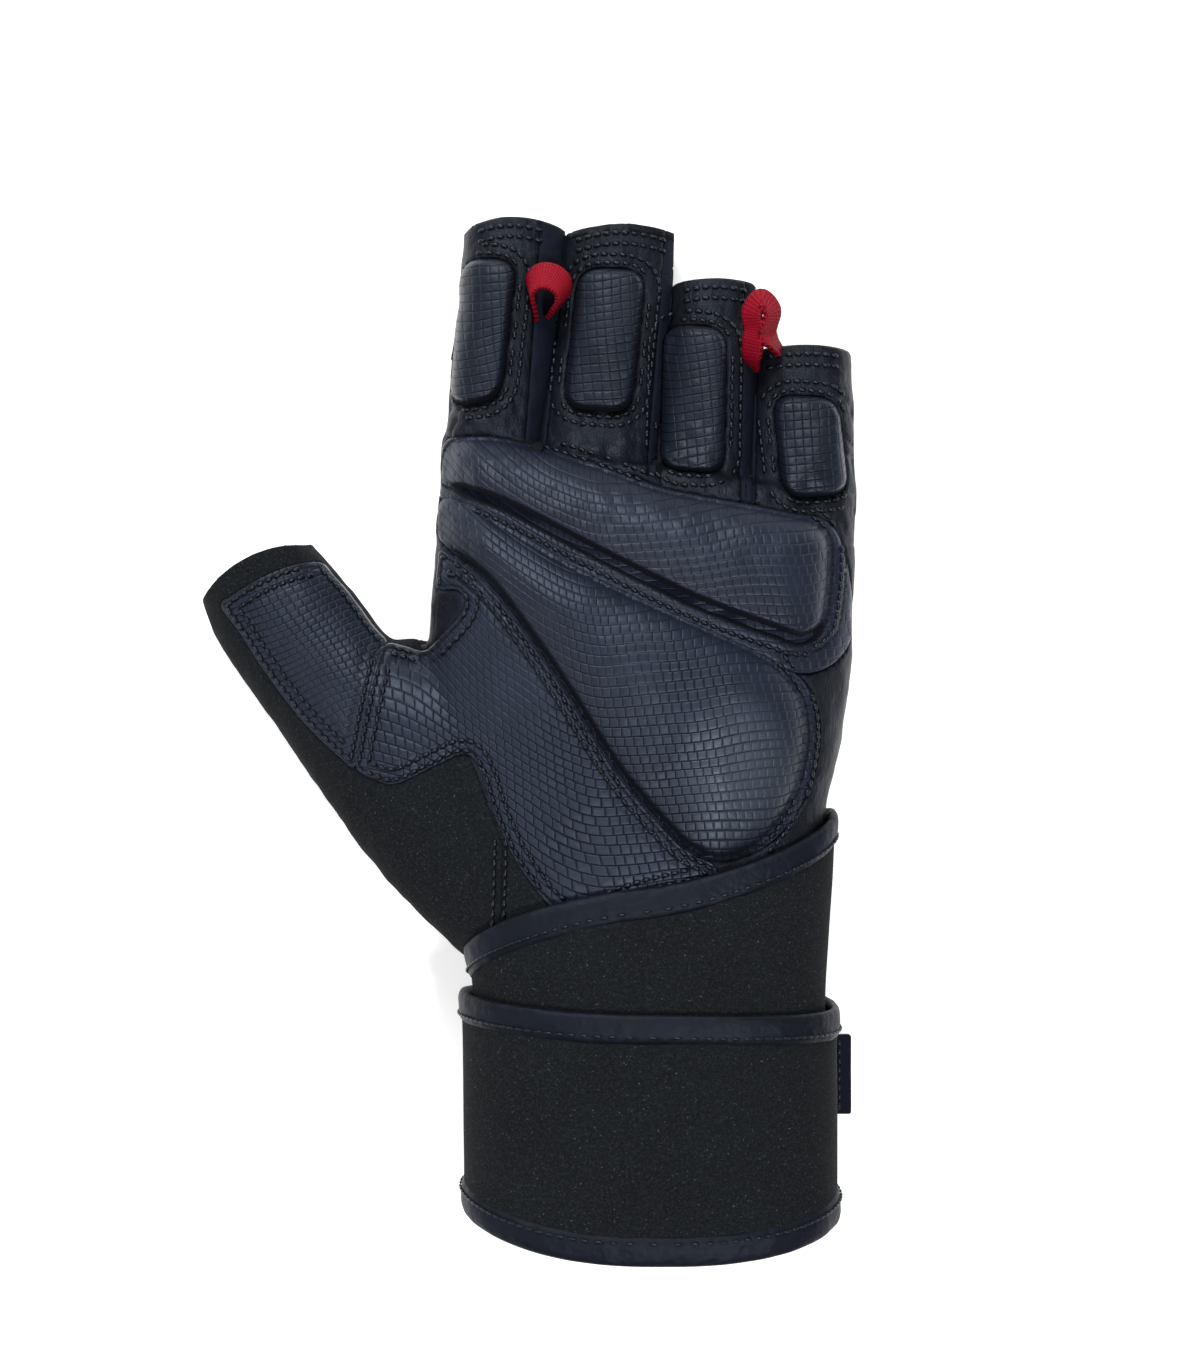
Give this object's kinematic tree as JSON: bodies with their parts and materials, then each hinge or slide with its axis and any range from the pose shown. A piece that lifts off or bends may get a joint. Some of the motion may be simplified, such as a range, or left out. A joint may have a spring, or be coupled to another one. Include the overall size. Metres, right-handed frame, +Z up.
{
  "type": "weightlifting glove",
  "caption": "Half-finger padded weightlifting glove for the left hand, palm up, with a long wrist wrap and red pull loops.",
  "frame": {"origin": "middle of the bounding box, on the surface that the glove lies on", "axes": "+Y towards the fingertips, +Z up out of the palm, -X towards the thumb"},
  "size_m": [0.157, 0.2442, 0.0503],
  "materials": {
    "smooth_leather": "smooth, satin sheen",
    "embossed_leather": "embossed scales, satin sheen",
    "soft_fabric": "brushed, matt",
    "stretch_fabric": "fine knit",
    "satin_binding": "satin",
    "red_webbing": "woven"
  },
  "bodies": {
    "root": {"palm_panel": "smooth_leather", "back_panel": "soft_fabric", "thumb_sleeve": "soft_fabric", "fourchette_index_middle": "stretch_fabric", "fourchette_middle_ring": "stretch_fabric", "fourchette_ring_little": "stretch_fabric", "thumb_patch": "embossed_leather", "thenar_patch": "embossed_leather", "heel_pad": "embossed_leather", "upper_palm_pad": "embossed_leather", "index_pad": "embossed_leather", "middle_pad": "embossed_leather", "ring_pad": "embossed_leather", "little_pad": "embossed_leather", "wrist_wrap": "soft_fabric", "wrap_top_binding": "satin_binding", "wrap_hem_binding": "satin_binding", "pull_tab": "stretch_fabric", "pull_loop_index_middle": "red_webbing", "pull_loop_ring_little": "red_webbing"}
  },
  "joints": []
}
